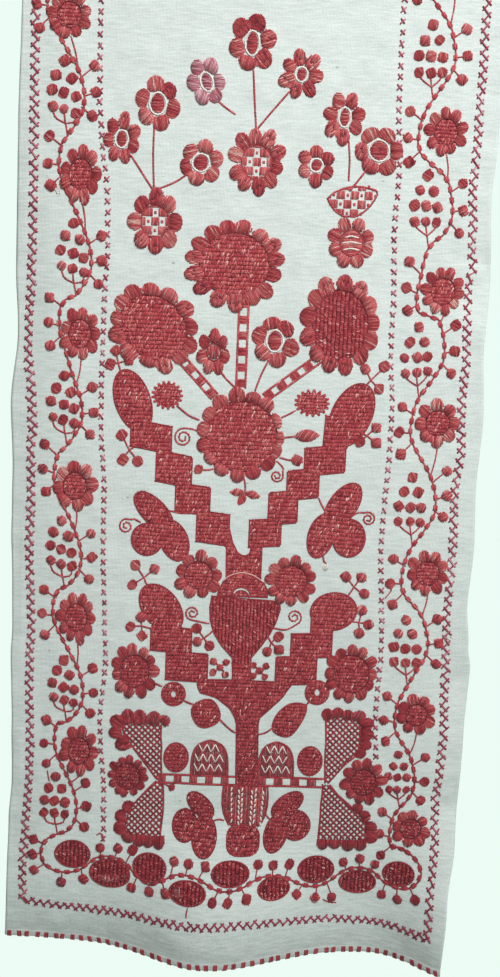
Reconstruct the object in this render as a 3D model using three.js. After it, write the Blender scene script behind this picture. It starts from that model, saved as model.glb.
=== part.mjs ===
// Rushnyk: a hand-woven linen ritual towel that hangs by its top edge.
// It is one bent sheet: straight under the top hem, with soft dents along the selvedges, and flaring into
// two unequal waves at the rolled bottom hem. Units are millimetres, +Z is up and the front looks along -Y.
// The origin is the middle of the top edge, so every height below is measured up from the bottom hem.
import * as THREE from "three";

// Driving dimensions
const clothWidth = 480;
const clothDrop = 1200;
const clothThickness = 1.4;
const columns = 36;
const rowPitch = 27;

// Cloth thickness up the towel: the rolled bottom hem, the single cloth, and the turned top hem
// rows: where the rolled hem's rows of points lie, as shares of its height
const rolledHem = { height: 7, thickness: 3.2, edgeThickness: 1.8, rows: [0, 0.3, 0.75, 1] };
const topHem = { height: 14, thickness: 2.6, step: 2 };

// Hem waves. across: middle of the wave; spreadLeft, spreadRight: how far it runs out to each side;
// forward: how far it stands out at the hem; sag: how far the hem drops there; reach: height where it has died out.
const hemWaves = [
  { across: -24, spreadLeft: 78, spreadRight: 98, forward: 40, sag: 11, reach: 160 },
  { across: 250, spreadLeft: 54, spreadRight: 54, forward: 37, sag: 10, reach: 160 },
];

// Soft dents and swells. across, up: the middle; halfWidth, halfHeight: its spread; forward: out (+) or back (-).
const softDents = [
  { across: -246, up: 640, halfWidth: 34, halfHeight: 330, forward: -8 },
  { across: -246, up: 120, halfWidth: 40, halfHeight: 110, forward: -6 },
  { across: 240, up: 728, halfWidth: 30, halfHeight: 34, forward: -9 },
  { across: 244, up: 300, halfWidth: 30, halfHeight: 40, forward: -7 },
  { across: 240, up: 168, halfWidth: 26, halfHeight: 24, forward: -8 },
  { across: 130, up: 60, halfWidth: 60, halfHeight: 60, forward: -5 },
  { across: -120, up: 470, halfWidth: 90, halfHeight: 240, forward: 4 },
  { across: 120, up: 520, halfWidth: 110, halfHeight: 200, forward: 3 },
];

// How far each selvedge strays from its straight line, outwards (+) or inwards (-), at these heights
const selvedges = [
  { up: 0, left: 1, right: -10 },
  { up: 65, left: 1, right: -5 },
  { up: 130, left: 0, right: 2 },
  { up: 180, left: -3, right: 3 },
  { up: 245, left: -2, right: 4 },
  { up: 318, left: 0, right: 7 },
  { up: 345, left: -1, right: 3 },
  { up: 389, left: 0, right: -1 },
  { up: 450, left: 2, right: 2 },
  { up: 514, left: 2, right: 0 },
  { up: 584, left: 5, right: 3 },
  { up: 655, left: -1, right: -1 },
  { up: 722, left: 2, right: 2 },
  { up: 810, left: 2, right: -3 },
  { up: 866, left: 2, right: 0 },
  { up: 985, left: 0, right: 0 },
  { up: 1200, left: 0, right: 0 },
];

// A selvedge's straying dies away inwards as this power of the distance from the middle.
const strayPower = 6;

// The top edge is held straight, so the dents fade out over this distance below its hem.
const straightBelowTop = 60;

function fade(share) {
  const t = THREE.MathUtils.clamp(share, 0, 1);
  return t * t * (3 - 2 * t);
}

// Value of one column of a table of heights, eased from row to row
function easedColumn(table, column, up) {
  const above = table.findIndex((row) => row.up >= up);
  if (above <= 0) return table[0][column];
  const low = table[above - 1];
  const high = table[above];
  return THREE.MathUtils.lerp(low[column], high[column], fade((up - low.up) / (high.up - low.up)));
}

function waveStrength(wave, across, up) {
  const spread = across < wave.across ? wave.spreadLeft : wave.spreadRight;
  const offset = (across - wave.across) / spread;
  return Math.exp(-offset * offset) * fade(1 - up / wave.reach);
}

function dentDepth(dent, across, up) {
  const sideways = (across - dent.across) / dent.halfWidth;
  const upwards = (up - dent.up) / dent.halfHeight;
  return dent.forward * Math.exp(-sideways * sideways - upwards * upwards);
}

// Where a point of the flat cloth hangs, on the sheet's middle surface
function hang(across, up) {
  let forward = 0;
  let sag = 0;
  for (const wave of hemWaves) {
    const strength = waveStrength(wave, across, up);
    forward += wave.forward * strength;
    sag += wave.sag * strength;
  }
  const held = fade((clothDrop - up - topHem.height) / straightBelowTop);
  for (const dent of softDents) forward += held * dentDepth(dent, across, up);

  const side = across < 0 ? "left" : "right";
  const towardsEdge = Math.abs(across) / (clothWidth / 2);
  const stray = easedColumn(selvedges, side, up) * towardsEdge ** strayPower * Math.sign(across);
  return new THREE.Vector3(across + stray, -forward, up - sag - clothDrop);
}

function thicknessAt(up) {
  if (up >= clothDrop - topHem.height) return topHem.thickness;
  if (up >= rolledHem.height) return clothThickness;
  return up === 0 ? rolledHem.edgeThickness : rolledHem.thickness;
}

// Heights of the sheet's rows: close together at the two hems, even in between
function rowHeights() {
  const hemRows = rolledHem.rows.map((share) => share * rolledHem.height);
  const topRows = [clothDrop - topHem.height - topHem.step, clothDrop - topHem.height, clothDrop];
  const span = topRows[0] - rolledHem.height;
  const evenRows = Math.round(span / rowPitch);
  const between = Array.from({ length: evenRows - 1 }, (_, i) => rolledHem.height + ((i + 1) * span) / evenRows);
  return [...hemRows, ...between, ...topRows];
}

// A thin box with its grid of points moved to where the cloth hangs
function hungSheet() {
  const heights = rowHeights();
  const rows = heights.length - 1;
  const sheet = new THREE.BoxGeometry(clothWidth, clothThickness, clothDrop, columns, 1, rows);
  const points = sheet.attributes.position;
  for (let i = 0; i < points.count; i++) {
    const row = Math.round((points.getZ(i) / clothDrop + 0.5) * rows);
    const place = hang(points.getX(i), heights[row]);
    place.y += Math.sign(points.getY(i)) * (thicknessAt(heights[row]) / 2);
    points.setXYZ(i, place.x, place.y, place.z);
  }
  sheet.computeVertexNormals();
  return sheet;
}

const bleachedLinen = new THREE.MeshStandardMaterial({ color: 0xd9dcd6, roughness: 0.95, metalness: 0 });

const towel = new THREE.Mesh(hungSheet(), bleachedLinen);
towel.name = "towel_cloth";

const rushnyk = new THREE.Group();
rushnyk.add(towel);

export default rushnyk;
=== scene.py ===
# Rushnyk: a hand-woven linen towel that hangs by its top edge, embroidered in red cotton, stitch by stitch.
# The flat cloth is measured in millimetres: u across from its middle line, v up from the bottom hem.
import math

import bmesh
import bpy
import numpy as np
from mathutils import Matrix, Vector


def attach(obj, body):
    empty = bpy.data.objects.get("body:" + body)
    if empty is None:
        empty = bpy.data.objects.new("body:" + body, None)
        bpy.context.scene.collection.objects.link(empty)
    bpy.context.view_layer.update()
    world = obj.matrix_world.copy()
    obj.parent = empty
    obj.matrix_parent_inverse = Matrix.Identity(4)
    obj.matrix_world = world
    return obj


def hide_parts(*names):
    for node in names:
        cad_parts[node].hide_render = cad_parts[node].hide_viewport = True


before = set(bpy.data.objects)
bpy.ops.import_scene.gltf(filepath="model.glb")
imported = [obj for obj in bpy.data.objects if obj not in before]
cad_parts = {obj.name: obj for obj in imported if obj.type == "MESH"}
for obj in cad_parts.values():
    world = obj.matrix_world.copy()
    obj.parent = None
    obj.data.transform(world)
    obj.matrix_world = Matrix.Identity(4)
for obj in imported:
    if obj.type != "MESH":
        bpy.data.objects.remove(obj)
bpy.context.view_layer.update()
rng = np.random.default_rng(29)  # the small unevenness of hand sewing, the same in each run
metre = 1000  # millimetres
print("frame loaded:", sorted(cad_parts))


# Camera: a little above the towel's middle, looking slightly down, and rolled as in the photograph
camera = {"side": 5.9, "back": 1500, "height": 732, "down": 8.67, "roll": 2.39,
          "lens": 53.83, "sensor": 36, "farthest": 50}
clothDrop = 1200


def addObject(name, data):
    added = bpy.data.objects.new(name, data)
    bpy.context.scene.collection.objects.link(added)
    return added


cameraData = bpy.data.cameras.new("photoCamera")
cameraData.sensor_fit = "VERTICAL"
cameraData.sensor_height = camera["sensor"]
cameraData.lens = camera["lens"]
cameraData.clip_end = camera["farthest"]
cameraObject = addObject("photoCamera", cameraData)
cameraPlace = np.array([camera["side"], -camera["back"], camera["height"] - clothDrop]) / metre
cameraTurn = Matrix.Rotation(math.radians(90 - camera["down"]), 4, "X")
cameraRoll = Matrix.Rotation(math.radians(camera["roll"]), 4, "Z")
cameraObject.matrix_world = Matrix.Translation(cameraPlace) @ (cameraTurn @ cameraRoll)
bpy.context.scene.camera = cameraObject
print("camera placed")


# How the towel hangs
cloth = {
    "width": 480, "topHem": 14, "columns": 180, "rowPitch": 5.2,
    "hemRows": [0, 0.8, 1.8, 3, 4.2, 5.4, 6.3, 7, 8.2, 10, 12.5, 16],
    "topRows": [1184, 1186, 1193, 1200],
    "straightBelowTop": 60,  # dents fade out over this distance under the top hem
    "strayPower": 6,  # a selvedge's straying dies away inwards
    "creaseStart": 0.1, "creaseSpan": 0.8,  # part of a half wave: a crease is shallow at its ends
}
clothThickness = [(0, 1.8), (2.1, 3.2), (5.2, 3.2), (7, 1.4), (1184, 1.4), (1186, 2.6)]  # height, thickness

# Waves of the hem: middle, spread to the left and right, how far forward, how far down, height where they end
hemWaves = [
    {"across": -24, "left": 78, "right": 98, "forward": 40, "sag": 11, "reach": 160},
    {"across": 250, "left": 54, "right": 54, "forward": 37, "sag": 10, "reach": 160},
]
# Soft dents: middle across and up, half width, half height, forward or back
softDents = [
    (-246, 640, 34, 330, -8), (-246, 120, 40, 110, -6), (240, 728, 30, 34, -9), (244, 300, 30, 40, -7),
    (240, 168, 26, 24, -8), (130, 60, 60, 60, -5), (-120, 470, 90, 240, 4), (120, 520, 110, 200, 3),
    (226, 735, 10, 12, 2.5), (232, 176, 9, 10, 2.5), (226, 345, 9, 14, 1.6), (-232, 205, 8, 30, 1.2),
]
# How far each selvedge strays from its straight line: height, left, right
selvedges = [
    (0, 1, -10), (65, 1, -5), (130, 0, 2), (180, -3, 3), (245, -2, 4), (318, 0, 7), (345, -1, 3),
    (389, 0, -1), (450, 2, 2), (514, 2, 0), (584, 5, 3), (655, -1, -1), (722, 2, 2), (810, 2, -3),
    (866, 2, 0), (985, 0, 0), (1200, 0, 0),
]
# Soft creases: from u, v, to u, v, half width, depth
creases = [
    (-190, 58, -95, 66, 7, -1.2), (-95, 55, -30, 47, 6, -1.0), (-70, 26, 20, 14, 7, 1.4),
    (60, 20, 150, 30, 9, 1.6), (105, 52, 200, 60, 8, -1.3), (150, 22, 215, 18, 7, -1.2),
    (-215, 20, -120, 24, 8, 0.9), (200, 160, 236, 190, 5, 1.4), (205, 300, 238, 330, 6, 1.2),
    (196, 742, 236, 728, 6, 1.4), (-232, 300, -226, 470, 5, 0.8), (-236, 700, -228, 860, 6, 0.8),
]
# Slack between the stitches: length of the ripple, its direction in degrees, where it starts, its height
ripples = [
    (61, 12, 0.4, 0.22), (43, 97, 1.9, 0.24), (37, 58, 3.1, 0.16), (29, 141, 0.8, 0.14), (23, 84, 2.2, 0.10),
]


def fade(share):
    share = np.clip(share, 0, 1)
    return share * share * (3 - 2 * share)


def eased(table, column, v):
    ups = np.array([row[0] for row in table], float)
    values = np.array([row[column] for row in table], float)
    low = np.clip(np.searchsorted(ups, v) - 1, 0, len(ups) - 2)
    share = fade((v - ups[low]) / (ups[low + 1] - ups[low]))
    return values[low] * (1 - share) + values[low + 1] * share


# Where points of the flat cloth hang, on the middle of its thickness
def hang(u, v):
    forward = np.zeros(np.shape(u))
    sag = np.zeros(np.shape(u))
    for wave in hemWaves:
        spread = np.where(u < wave["across"], wave["left"], wave["right"])
        strength = np.exp(-((u - wave["across"]) / spread) ** 2) * fade(1 - v / wave["reach"])
        forward = forward + wave["forward"] * strength
        sag = sag + wave["sag"] * strength
    loose = np.zeros(np.shape(u))
    for across, up, halfWidth, halfHeight, depth in softDents:
        loose = loose + depth * np.exp(-((u - across) / halfWidth) ** 2 - ((v - up) / halfHeight) ** 2)
    for fromU, fromV, toU, toV, halfWidth, depth in creases:
        du, dv = toU - fromU, toV - fromV
        along = np.clip(((u - fromU) * du + (v - fromV) * dv) / (du * du + dv * dv), 0, 1)
        off = np.hypot(u - fromU - along * du, v - fromV - along * dv)
        rise = np.sin(math.pi * (cloth["creaseStart"] + cloth["creaseSpan"] * along))
        loose = loose + depth * np.exp(-(off / halfWidth) ** 2) * rise
    for length, turn, start, height in ripples:
        across = u * math.cos(math.radians(turn)) + v * math.sin(math.radians(turn))
        loose = loose + height * np.sin(2 * math.pi * across / length + start)
    forward = forward + loose * fade((clothDrop - v - cloth["topHem"]) / cloth["straightBelowTop"])
    stray = np.where(u < 0, eased(selvedges, 1, v), eased(selvedges, 2, v))
    stray = stray * np.abs(u / (cloth["width"] / 2)) ** cloth["strayPower"] * np.sign(u)
    return np.stack([u + stray, -forward, v - sag - clothDrop], -1)


def thicknessAt(v):
    return np.interp(v, [row[0] for row in clothThickness], [row[1] for row in clothThickness])


# A point at some height over the middle of the cloth's thickness, in metres; negative heights are at the back
def overCloth(u, v, height):
    step = 0.5
    acrossCloth = hang(u + step, v) - hang(u - step, v)
    upCloth = hang(u, v + step) - hang(u, v - step)
    outwards = np.cross(acrossCloth, upCloth)
    outwards /= np.linalg.norm(outwards, axis=-1, keepdims=True)
    return (hang(u, v) + outwards * height[..., None]) / metre


def linear(hexColour):
    parts = [int(hexColour[i:i + 2], 16) / 255 for i in (1, 3, 5)]
    return [part / 12.92 if part <= 0.04045 else ((part + 0.055) / 1.055) ** 2.4 for part in parts] + [1]


def setInputs(material, node, inputs):
    for name, value in inputs.items():
        if isinstance(value, bpy.types.NodeSocket):
            material.node_tree.links.new(value, node.inputs[name])
        else:
            node.inputs[name].default_value = value


# Inputs go by name, or by number where a node gives several the same name
def addNode(material, kind, settings, inputs):
    node = material.node_tree.nodes.new(kind)
    for name, value in settings.items():
        setattr(node, name, value)
    setInputs(material, node, inputs)
    return node


def setRamp(node, places, colours):
    ramp = node.color_ramp
    while len(ramp.elements) < len(places):
        ramp.elements.new(0.5)
    for element, place, colour in zip(ramp.elements, places, colours):
        element.position = place
        element.color = linear(colour)
    return node


def newMaterial(name):
    material = bpy.data.materials.new(name)
    material.use_nodes = True
    return material, material.node_tree.nodes["Principled BSDF"]


def patternScale(metresAcross, metresUp):
    return {"Scale": (1 / metresAcross, 1 / metresUp, 1)}


# The relief and surface of a cloth or thread
def finishMaterial(material, shader, colour, height, looks):
    bump = addNode(material, "ShaderNodeBump", {},
                   {"Height": height, "Strength": looks["strength"], "Distance": looks["depth"]})
    setInputs(material, shader, {"Base Color": colour, "Normal": bump.outputs["Normal"],
                                 "Roughness": looks["roughness"], "Sheen Weight": looks["sheen"],
                                 "Specular IOR Level": looks["specular"]})
    return material


# Bleached hand-woven linen: a matte grey white, streaked across by thick and thin weft, with a few dark neps,
# and greyed along the hem by painted shade
linen = {
    "colours": ("#b3b9b5", "#cbd2cf", "#e3e8e5"), "stops": (0.2, 0.53, 0.93),  # painted hem shade, grey, pale
    "slubLength": 0.016, "slubHeight": 0.0027, "slubRelief": 1.6,
    "threadPitch": 0.0014, "threadSway": 1.2,  # true linen is about 0.8 mm; drawn coarser to show
    "nep": "#878d86", "nepLength": 0.0065, "nepHeight": 0.0039,
    "nepFrom": 0.85, "nepTo": 0.89, "nepShare": 0.6,
    "grain": 0.0019, "grainShare": 0.5,
    "roughness": 0.93, "sheen": 0.12, "specular": 0.25, "depth": 0.0003, "strength": 0.55,
    "hemShadeHeight": 0.075, "hemShadeShift": -0.5,  # painted shade greys the linen up to this height above the hem
}


def bleachedLinen():
    material, shader = newMaterial("bleached hand-woven linen")
    flat = addNode(material, "ShaderNodeUVMap", {"uv_map": "flatCloth"}, {}).outputs["UV"]
    slubPlace = addNode(material, "ShaderNodeMapping", {},
                        {"Vector": flat, **patternScale(linen["slubLength"], linen["slubHeight"])})
    slub = addNode(material, "ShaderNodeTexNoise", {},
                   {"Vector": slubPlace.outputs["Vector"], "Scale": 1.0, "Detail": 4.0, "Roughness": 0.65})
    grain = addNode(material, "ShaderNodeTexNoise", {},
                    {"Vector": flat, "Scale": 1 / linen["grain"], "Detail": 2.0})
    mixed = addNode(material, "ShaderNodeMath", {"operation": "MULTIPLY_ADD"},
                    {0: grain.outputs["Fac"], 1: linen["grainShare"], 2: slub.outputs["Fac"]})
    place = addNode(material, "ShaderNodeSeparateXYZ", {}, {"Vector": flat})
    # Painted shade: the linen's tone is pushed darker towards the hem
    hemShade = addNode(material, "ShaderNodeMapRange", {},
                      {"Value": place.outputs["Y"], "From Max": linen["hemShadeHeight"],
                       "To Min": linen["hemShadeShift"], "To Max": 0.0})
    toneWithHemShade = addNode(material, "ShaderNodeMath", {"operation": "ADD"},
                     {0: mixed.outputs["Value"], 1: hemShade.outputs["Result"]})
    tone = setRamp(addNode(material, "ShaderNodeValToRGB", {}, {"Fac": toneWithHemShade.outputs["Value"]}),
                   linen["stops"], linen["colours"])
    nepPlace = addNode(material, "ShaderNodeMapping", {},
                       {"Vector": flat, **patternScale(linen["nepLength"], linen["nepHeight"])})
    nep = addNode(material, "ShaderNodeTexNoise", {},
                  {"Vector": nepPlace.outputs["Vector"], "Scale": 1.0, "Detail": 0.0})
    nepMask = addNode(material, "ShaderNodeMapRange", {},
                      {"Value": nep.outputs["Fac"], "From Min": linen["nepFrom"], "From Max": linen["nepTo"],
                       "To Max": linen["nepShare"]})
    colour = addNode(material, "ShaderNodeMix", {"data_type": "RGBA"},
                     {"Factor": nepMask.outputs["Result"], 6: tone.outputs["Color"], 7: linear(linen["nep"])})
    bands = 2 * math.pi / 20 / linen["threadPitch"]  # a wave texture of scale 1 repeats each 2 pi / 20
    warp, weft = [addNode(material, "ShaderNodeTexWave", {"bands_direction": direction},
                          {"Vector": flat, "Scale": bands, "Distortion": linen["threadSway"], "Detail": 2.0,
                           "Detail Scale": 0.4}) for direction in "XY"]
    weave = addNode(material, "ShaderNodeMath", {"operation": "MAXIMUM"},
                    {0: warp.outputs["Fac"], 1: weft.outputs["Fac"]})
    height = addNode(material, "ShaderNodeMath", {"operation": "MULTIPLY_ADD"},
                     {0: slub.outputs["Fac"], 1: linen["slubRelief"], 2: weave.outputs["Value"]})
    return finishMaterial(material, shader, colour.outputs[2], height.outputs["Value"], linen)


# Stranded cotton: noise streaks along each stitch paint highlights and shade on the strands, and painted
# shade darkens the gaps
thread = {
    "strandAcross": 0.0009, "strandAlong": 0.006, "streak": 0.46, "lightness": 0.2,
    "streakFrom": 0.25, "streakTo": 0.75, "stops": (0.15, 0.65, 0.95, 1.0),
    "roughness": 0.72, "sheen": 0.2, "specular": 0.3, "depth": 0.00025, "strength": 0.5,
}
shortStreaks = {"strandAcross": 0.0009, "strandAlong": 0.0011, "streak": 0.42}  # on darning the painted highlights and shade are short flecks


def strandedCotton(name, colours, strands=thread):
    material, shader = newMaterial(name)
    tone = addNode(material, "ShaderNodeAttribute", {"attribute_name": "tone"}, {})
    along = addNode(material, "ShaderNodeUVMap", {"uv_map": "alongThread"}, {}).outputs["UV"]
    strandPlace = addNode(material, "ShaderNodeMapping", {},
                          {"Vector": along, **patternScale(strands["strandAcross"], strands["strandAlong"])})
    strand = addNode(material, "ShaderNodeTexNoise", {},
                     {"Vector": strandPlace.outputs["Vector"], "Scale": 1.0, "Detail": 2.0})
    # Painted highlights and shade: noise streaks along the strands
    streak = addNode(material, "ShaderNodeMapRange", {},
                     {"Value": strand.outputs["Fac"],
                      "From Min": thread["streakFrom"], "From Max": thread["streakTo"],
                      "To Min": thread["lightness"] - strands["streak"] / 2,
                      "To Max": thread["lightness"] + strands["streak"] / 2})
    shade = addNode(material, "ShaderNodeMath", {"operation": "ADD"},
                    {0: streak.outputs["Result"], 1: tone.outputs["Fac"]})
    colour = setRamp(addNode(material, "ShaderNodeValToRGB", {}, {"Fac": shade.outputs["Value"]}),
                     thread["stops"], colours)
    return finishMaterial(material, shader, colour.outputs["Color"], strand.outputs["Fac"], thread)


# Colours run from the painted shade in the gaps between threads to rubbed flecks and painted highlights
madder = ("#56091a", "#bb3f48", "#e08480", "#eec2b9")
linenMaterial = bleachedLinen()
redCotton = strandedCotton("madder red stranded cotton", madder)
# Darning cotton whose painted highlights and shade come in short flecks
shortStreakCotton = strandedCotton("madder red darning cotton with short painted streaks", madder, shortStreaks)
roseCotton = strandedCotton("faded rose stranded cotton", ("#741a34", "#ad4256", "#d08b98", "#e0b4bc"))
whiteCotton = strandedCotton("undyed stranded cotton", ("#c2b6ae", "#e4dbd3", "#f3ece5", "#f6f1ec"))
print("materials made")


# The linen: one grid, hung, with its thickness from a Solidify modifier
def weaveLinen():
    lowest, highest = cloth["hemRows"][-1], cloth["topRows"][0]
    between = np.linspace(lowest, highest, round((highest - lowest) / cloth["rowPitch"]) + 1)[1:-1]
    heights = np.concatenate([cloth["hemRows"], between, cloth["topRows"]])
    rows = len(heights) - 1
    grid = bmesh.new()
    grid.loops.layers.uv.new("flatCloth")
    bmesh.ops.create_grid(grid, x_segments=cloth["columns"], y_segments=rows, size=0.5)
    mesh = bpy.data.meshes.new("linen_cloth")
    grid.to_mesh(mesh)
    grid.free()
    flat = np.empty(len(mesh.vertices) * 3)
    mesh.vertices.foreach_get("co", flat)
    flat = flat.reshape(-1, 3)
    u = flat[:, 0] * cloth["width"]
    v = heights[np.rint((flat[:, 1] + 0.5) * rows).astype(int)]
    mesh.vertices.foreach_set("co", (hang(u, v) / metre).ravel())
    corner = np.empty(len(mesh.loops), int)
    mesh.loops.foreach_get("vertex_index", corner)
    mesh.uv_layers["flatCloth"].data.foreach_set("uv", (np.column_stack([u, v])[corner] / metre).ravel())
    mesh.polygons.foreach_set("use_smooth", np.ones(len(mesh.polygons), bool))
    mesh.flip_normals()  # the embroidered face looks along -Y
    mesh.materials.append(linenMaterial)
    piece = addObject("linen_cloth", mesh)
    thickest = max(thickness for height, thickness in clothThickness)
    fullness = piece.vertex_groups.new(name="fullness")
    share = thicknessAt(v) / thickest
    for height in heights:
        members = np.flatnonzero(v == height).tolist()
        fullness.add(members, float(share[members[0]]), "REPLACE")
    wall = piece.modifiers.new("clothThickness", "SOLIDIFY")
    wall.thickness = thickest / metre
    wall.offset = 0
    wall.vertex_group = "fullness"
    return piece


linenCloth = weaveLinen()
print("linen hung")


# Stitches. Each is a closed spindle whose two tips dive into the cloth; a heap of them is one mesh.
# A ring: its place along the stitch, which way it keeps off the tip, its share of the width and of the lift.
# Each side also carries painted shade, darkest at the thread's edges where neighbouring threads shade it
threadForm = {"rings": ((0, 1, 0.95, 0.95), (1, -1, 0.95, 0.95)),
              "sides": (-1, -0.5, 0.5, 1), "sideLift": (0, 1, 1, 0), "paintedSideShade": (-0.54, 0.03, 0.03, -0.54)}
plainForm = {"rings": ((0, 1, 1, 1), (1, -1, 1, 1)),
             "sides": (-1, 0, 1), "sideLift": (0, 1, 0), "paintedSideShade": (-0.32, 0, -0.32)}
paintedTipShade = -0.46  # painted shade: threads are darkened where they go into the cloth or against each other
stitchEnd, longestEnd = 0.6, 0.3  # length of a stitch's rounded end, and its largest share of a short stitch
tipSink = 0.4
seated = -0.06  # the lowest line of a stitch lies a little in the cloth
strandShift = 0.37  # brings each stitch to other strands in the thread's pattern
redDarkerLowDown = {"below": 420, "over": 300, "tone": 0.12}  # the red is darker towards the bottom


# Columns of a stitch: start u, v, end u, v, width, lift, tone, height over the cloth
def sew(work, starts, ends, width, lift, tone, over=0.0):
    starts, ends = np.reshape(starts, (-1, 2)), np.reshape(ends, (-1, 2))
    sizes = [np.broadcast_to(value, len(starts)) for value in (width, lift, tone, over)]
    work.append(np.column_stack([starts, ends, *sizes]))


def spindle(form):
    sides, rings = len(form["sides"]), len(form["rings"])
    points = [(along, keepOff, side * ringWidth, sideLift * ringLift, 0, paintedSideShade)
              for along, keepOff, ringWidth, ringLift in form["rings"]
              for side, sideLift, paintedSideShade in zip(form["sides"], form["sideLift"], form["paintedSideShade"])]
    points += [(0, 0, 0, 0, 1, paintedTipShade), (1, 0, 0, 0, 1, paintedTipShade)]
    firstTip, lastTip, lastRing = rings * sides, rings * sides + 1, (rings - 1) * sides
    quads, triangles = [], []
    for j in range(sides):
        k = (j + 1) % sides
        for ring in range(0, lastRing, sides):
            quads.append((ring + k, ring + j, ring + j + sides, ring + k + sides))
        triangles += [(firstTip, j, k), (lastTip, lastRing + k, lastRing + j)]
    return np.array(points, float), np.array(quads), np.array(triangles)


def meshFrom(name, places, quads, triangles, tone, threadPlace, material):
    mesh = bpy.data.meshes.new(name)
    mesh.from_pydata(places.tolist(), [], quads.tolist() + triangles.tolist())
    mesh.attributes.new("tone", "FLOAT", "POINT").data.foreach_set("value", tone.astype(np.float32))
    corner = np.empty(len(mesh.loops), int)
    mesh.loops.foreach_get("vertex_index", corner)
    threadMap = mesh.uv_layers.new(name="alongThread")
    threadMap.data.foreach_set("uv", threadPlace[corner].ravel().astype(np.float32))
    mesh.polygons.foreach_set("use_smooth", np.ones(len(mesh.polygons), bool))
    mesh.materials.append(material)
    return addObject(name, mesh)


# Directions at right angles to some runs, of length 1
def asideOf(runs):
    return np.column_stack([-runs[:, 1], runs[:, 0]]) / np.linalg.norm(runs, axis=1)[:, None]


def makeStitches(name, work, material, form=threadForm, back=False):
    rows = np.concatenate(work)
    points, quads, triangles = spindle(form)
    run = rows[:, 2:4] - rows[:, 0:2]
    length = np.linalg.norm(run, axis=1)
    aside = asideOf(run)
    width, lift, tone, over = rows[:, 4:8].T
    tone = tone - redDarkerLowDown["tone"] * fade((redDarkerLowDown["below"] - rows[:, 1]) / redDarkerLowDown["over"])
    along = points[:, 0] + points[:, 1] * np.minimum(stitchEnd / length, longestEnd)[:, None]
    sideways = points[:, 2] * width[:, None] / 2
    flat = rows[:, None, 0:2] + run[:, None] * along[..., None] + aside[:, None] * sideways[..., None]
    u, v = flat[..., 0].ravel(), flat[..., 1].ravel()
    height = over[:, None] + lift[:, None] * points[:, 3] - tipSink * points[:, 4] + seated
    height = thicknessAt(v) / 2 + height.ravel()
    places = overCloth(u, v, -height if back else height)
    first = np.arange(len(rows))[:, None, None] * len(points)
    if back:
        quads, triangles = quads[:, ::-1], triangles[:, ::-1]
    threadPlace = np.stack([sideways, along * length[:, None] + strandShift * first[:, :, 0]], -1)
    print(name, len(rows), "stitches,", len(rows) * (2 * len(quads) + len(triangles)), "triangles")
    # The tone attribute takes in each point's painted side or tip shade
    return meshFrom(name, places, (quads + first).reshape(-1, 4), (triangles + first).reshape(-1, 3),
                    (tone[:, None] + points[:, 5]).ravel(), threadPlace.reshape(-1, 2) / metre, material)


# A point across and up from a middle, turned by some degrees
def turned(u, v, turn, across, up):
    c, s = math.cos(math.radians(turn)), math.sin(math.radians(turn))
    return u + across * c - up * s, v + across * s + up * c


# Flat shapes: a test for points inside, a middle, a reach with a little to spare, and rims with the tests
# that hide parts of them
rimPoints, scanStep = 48, 0.25  # points round an oval, and the step in which rows are searched for its edges


def shapeFrom(inside, rim):
    rim = np.array(rim, float)
    low, high = rim.min(axis=0), rim.max(axis=0)
    return inside, *((low + high) / 2), np.linalg.norm(high - low) / 2 + 1, [(np.vstack([rim, rim[:1]]), [])]


def oval(u, v, halfAcross, halfUp, turn=0, power=2):
    def inside(pu, pv):
        across, up = turned(0, 0, -turn, pu - u, pv - v)
        return np.abs(across / halfAcross) ** power + np.abs(up / halfUp) ** power < 1
    angles = np.linspace(0, 2 * math.pi, rimPoints, endpoint=False)
    across = halfAcross * np.sign(np.cos(angles)) * np.abs(np.cos(angles)) ** (2 / power)
    up = halfUp * np.sign(np.sin(angles)) * np.abs(np.sin(angles)) ** (2 / power)
    return shapeFrom(inside, np.column_stack(turned(u, v, turn, across, up)))


# A shape by its corners
def patch(corners):
    a = np.array(corners, float)
    b = np.roll(a, -1, axis=0)
    a, b = a[a[:, 1] != b[:, 1]], b[a[:, 1] != b[:, 1]]

    def inside(pu, pv):
        pu, pv = np.asarray(pu, float), np.asarray(pv, float)
        crossed = np.zeros(pu.shape, int)
        for (fromU, fromV), (toU, toV) in zip(a, b):
            sideU = fromU + (pv - fromV) * (toU - fromU) / (toV - fromV)
            crossed += ((fromV > pv) != (toV > pv)) & (pu < sideU)
        return crossed % 2 == 1
    return shapeFrom(inside, corners)


# A shape with a round outline through some points
def blob(points):
    points = np.array(points, float)
    return patch(curveThrough(np.vstack([points[-1:], points, points[:2]])))


def leaf(u, v, halfLength, halfWidth, turn):
    along = np.linspace(-halfLength, halfLength, rimPoints // 2)
    half = halfWidth * (1 - (along / halfLength) ** 2)
    across, up = np.concatenate([along, along[-2:0:-1]]), np.concatenate([half, -half[-2:0:-1]])
    return patch(np.column_stack(turned(u, v, turn, across, up)))


# A shape by its left and right edge at some heights, from the top down
def outline(table):
    return patch([(left, v) for v, left, right in table] + [(right, v) for v, left, right in reversed(table)])


# A block with upright sides, whose top and bottom edges fall towards the right
def step(left, right, bottom, top, fall):
    return patch([(left, bottom + fall / 2), (left, top + fall / 2),
                  (right, top - fall / 2), (right, bottom - fall / 2)])


def joined(*shapes):
    u = sum(shape[1] for shape in shapes) / len(shapes)
    v = sum(shape[2] for shape in shapes) / len(shapes)
    reach = max(math.hypot(shape[1] - u, shape[2] - v) + shape[3] for shape in shapes)
    rims = [(rim, hides + [other[0] for other in shapes if other is not shape])
            for shape in shapes for rim, hides in shape[4]]
    return (lambda pu, pv: np.any([shape[0](pu, pv) for shape in shapes], axis=0)), u, v, reach, rims


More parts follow.
